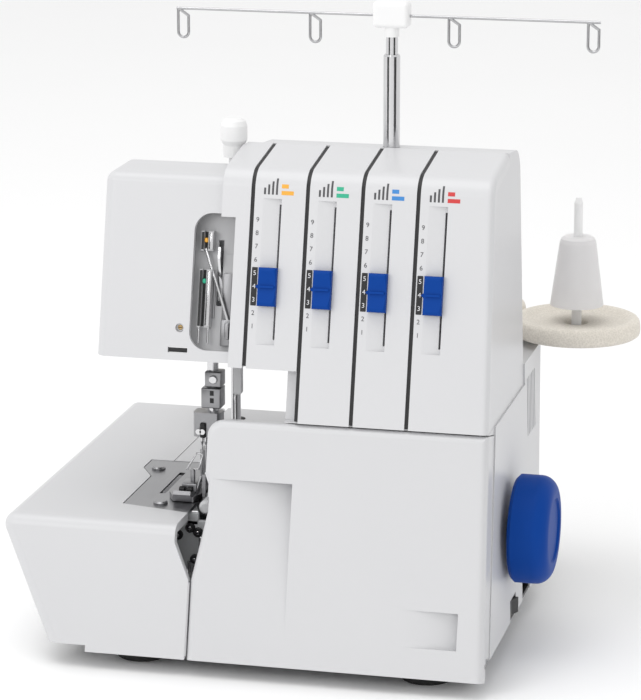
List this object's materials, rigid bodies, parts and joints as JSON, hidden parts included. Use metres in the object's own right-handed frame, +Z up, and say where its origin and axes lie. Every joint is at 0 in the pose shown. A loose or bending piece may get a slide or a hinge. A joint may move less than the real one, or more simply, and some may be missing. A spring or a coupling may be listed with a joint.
{
  "type": "overlock sewing machine",
  "caption": "Table-top overlock sewing machine with leaning front, thread tension sliders, needle head, hinged covers, handwheel, rear spool stand and telescopic thread antenna.",
  "frame": {"origin": "centre of the outline box, on the table", "axes": "+X along the arm to the handwheel, +Y from the front to the back, +Z up"},
  "size_m": [0.3252, 0.2604, 0.3562],
  "materials": {
    "white_shell": "smooth moulded white",
    "white_panel": "smooth moulded white",
    "grey_pan": "fine grain",
    "blue_plastic": "smooth moulded blue",
    "black_plastic": "fine grain",
    "clear_plastic": "milky translucent",
    "foam": "soft foam",
    "rubber_black": "matte",
    "cast_metal": "as cast",
    "steel": "ground",
    "bright_steel": "polished plating",
    "bush_bronze": "machined"
  },
  "bodies": {
    "body": {"base_pan": "grey_pan", "rubber_feet": "rubber_black", "lower_housing": "white_shell", "tension_panel": "white_panel", "tension_discs": "steel", "arm_housing": "white_shell", "face_cover": "white_shell", "bed_plate": "white_shell", "cloth_plate_pin": "steel", "needle_plate": "steel", "needle_plate_screws": "steel", "main_frame": "cast_metal", "needle_bar_bushes": "bush_bronze", "pivot_pins": "steel", "lower_knife_holder": "cast_metal", "lower_knife": "steel", "shaft_bushes": "bush_bronze", "motor": "cast_metal", "motor_bracket": "grey_pan", "drive_belt": "rubber_black", "spool_stand": "white_shell", "spool_stand_screws": "steel", "spool_pins": "white_shell", "spool_cushions": "foam", "cone_holders": "clear_plastic", "thread_guides": "white_shell", "switch_body": "black_plastic", "power_inlet": "black_plastic"},
    "drive_shaft": {"handwheel": "blue_plastic", "main_shaft": "steel", "shaft_pulley": "black_plastic"},
    "motor_rotor": {"motor_pulley": "black_plastic"},
    "needle_carrier": {"needle_bar": "bright_steel", "needle_clamp": "steel", "needles": "bright_steel", "needle_clamp_screws": "bright_steel"},
    "presser": {"presser_bar": "bright_steel", "presser_foot": "steel"},
    "lifter": {"presser_lifter": "white_shell"},
    "pressure_dial": {"pressure_knob": "white_shell"},
    "pressure_plug": {"pressure_seat": "steel"},
    "cover_pin": {"cover_hinge_pin": "steel"},
    "cover": {"front_cover": "white_shell"},
    "cloth_table": {"cloth_plate": "white_shell"},
    "knife_arm": {"upper_knife": "steel"},
    "knife_dial": {"knife_knob": "white_shell"},
    "looper_upper": {"upper_looper": "steel"},
    "looper_lower": {"lower_looper": "steel"},
    "feed": {"feed_dog": "steel"},
    "take_up": {"take_up_lever": "bright_steel"},
    "rocker": {"power_switch": "black_plastic"},
    "post_lower": {"post_lower_tube": "bright_steel"},
    "post_upper": {"post_upper_tube": "bright_steel"},
    "antenna": {"antenna_cap": "white_shell", "antenna_wires": "bright_steel"},
    "slider_1": {"tension_slider_1": "blue_plastic"},
    "slider_2": {"tension_slider_2": "blue_plastic"},
    "slider_3": {"tension_slider_3": "blue_plastic"},
    "slider_4": {"tension_slider_4": "blue_plastic"}
  },
  "joints": [
    {"name": "handwheel_turn", "type": "hinge", "parent": "body", "child": "drive_shaft", "pos_m": [0.0038, -0.046, 0.0712], "axis": [1, 0, 0], "continuous": true},
    {"name": "motor_turn", "type": "hinge", "parent": "body", "child": "motor_rotor", "pos_m": [0.0038, 0.072, 0.052], "axis": [1, 0, 0], "continuous": true},
    {"name": "needle_bar_slide", "type": "slide", "parent": "body", "child": "needle_carrier", "axis": [0, 0, 1], "range_m": [-0.01, 0.018]},
    {"name": "presser_lift", "type": "hinge", "parent": "body", "child": "lifter", "pos_m": [-0.048, -0.038, 0.186], "axis": [1, 0, 0], "range_deg": [0, 18.2]},
    {"name": "presser_slide", "type": "slide", "parent": "body", "child": "presser", "axis": [0, 0, 1], "range_m": [0, 0.005]},
    {"name": "pressure_turn", "type": "hinge", "parent": "body", "child": "pressure_dial", "pos_m": [-0.0537, -0.022, 0.28], "axis": [0, 0, 1], "range_deg": [-725, 0]},
    {"name": "pressure_plug_slide", "type": "slide", "parent": "body", "child": "pressure_plug", "axis": [0, 0, 1], "range_m": [-0.002, 0]},
    {"name": "tension_1", "type": "slide", "parent": "body", "child": "slider_1", "axis": [0, 0.2334, 0.9724], "range_m": [-0.0215, 0.034]},
    {"name": "tension_2", "type": "slide", "parent": "body", "child": "slider_2", "axis": [0, 0.2334, 0.9724], "range_m": [-0.0215, 0.034]},
    {"name": "tension_3", "type": "slide", "parent": "body", "child": "slider_3", "axis": [0, 0.2334, 0.9724], "range_m": [-0.0215, 0.034]},
    {"name": "tension_4", "type": "slide", "parent": "body", "child": "slider_4", "axis": [0, 0.2334, 0.9724], "range_m": [-0.0215, 0.034]},
    {"name": "cover_slide", "type": "slide", "parent": "body", "child": "cover_pin", "axis": [1, 0, 0], "range_m": [0, 0.008]},
    {"name": "cover_open", "type": "hinge", "parent": "cover_pin", "child": "cover", "pos_m": [0.0038, -0.12088, 0.01602], "axis": [1, 0, 0], "range_deg": [0, 80]},
    {"name": "cloth_table_swing", "type": "hinge", "parent": "body", "child": "cloth_table", "pos_m": [-0.1052, 0.121, 0.04], "axis": [0, 0, -1], "range_deg": [0, 70]},
    {"name": "upper_knife_rock", "type": "hinge", "parent": "body", "child": "knife_arm", "pos_m": [-0.0602, -0.012, 0.066], "axis": [1, 0, 0], "range_deg": [-8, 3]},
    {"name": "knife_knob_turn", "type": "hinge", "parent": "body", "child": "knife_dial", "pos_m": [-0.0564, -0.066, 0.08], "axis": [0, 1, 0], "range_deg": [0, 90]},
    {"name": "upper_looper_rock", "type": "hinge", "parent": "body", "child": "looper_upper", "pos_m": [-0.0492, -0.04, 0.044], "axis": [0, 1, 0], "range_deg": [0, 12]},
    {"name": "lower_looper_rock", "type": "hinge", "parent": "body", "child": "looper_lower", "pos_m": [-0.0542, -0.032, 0.034], "axis": [0, 1, 0], "range_deg": [-12, 0]},
    {"name": "feed_slide", "type": "slide", "parent": "body", "child": "feed", "axis": [0, 1, 0], "range_m": [-0.0015, 0.0015]},
    {"name": "take_up_rock", "type": "hinge", "parent": "body", "child": "take_up", "pos_m": [-0.0499, -0.061, 0.189], "axis": [1, 0, 0], "range_deg": [-5, 5]},
    {"name": "switch_rock", "type": "hinge", "parent": "body", "child": "rocker", "pos_m": [0.10683, -0.038, 0.022], "axis": [0, 0, 1], "range_deg": [0, 14]},
    {"name": "post_lower_slide", "type": "slide", "parent": "body", "child": "post_lower", "axis": [0, 0, 1], "range_m": [0, 0.1]},
    {"name": "post_upper_slide", "type": "slide", "parent": "post_lower", "child": "post_upper", "axis": [0, 0, 1], "range_m": [0, 0.1]},
    {"name": "antenna_swivel", "type": "hinge", "parent": "post_upper", "child": "antenna", "pos_m": [0.0342, -0.016, 0.3482], "axis": [0, 0, 1], "range_deg": [-90, 90]}
  ],
  "couplings": [
    {"joint": "motor_turn", "follows": "handwheel_turn", "ratio": 2.6667},
    {"joint": "presser_lift", "follows": "presser_slide", "rad_per_m": 62.832},
    {"joint": "pressure_turn", "follows": "pressure_plug_slide", "rad_per_m": 6283.2}
  ]
}
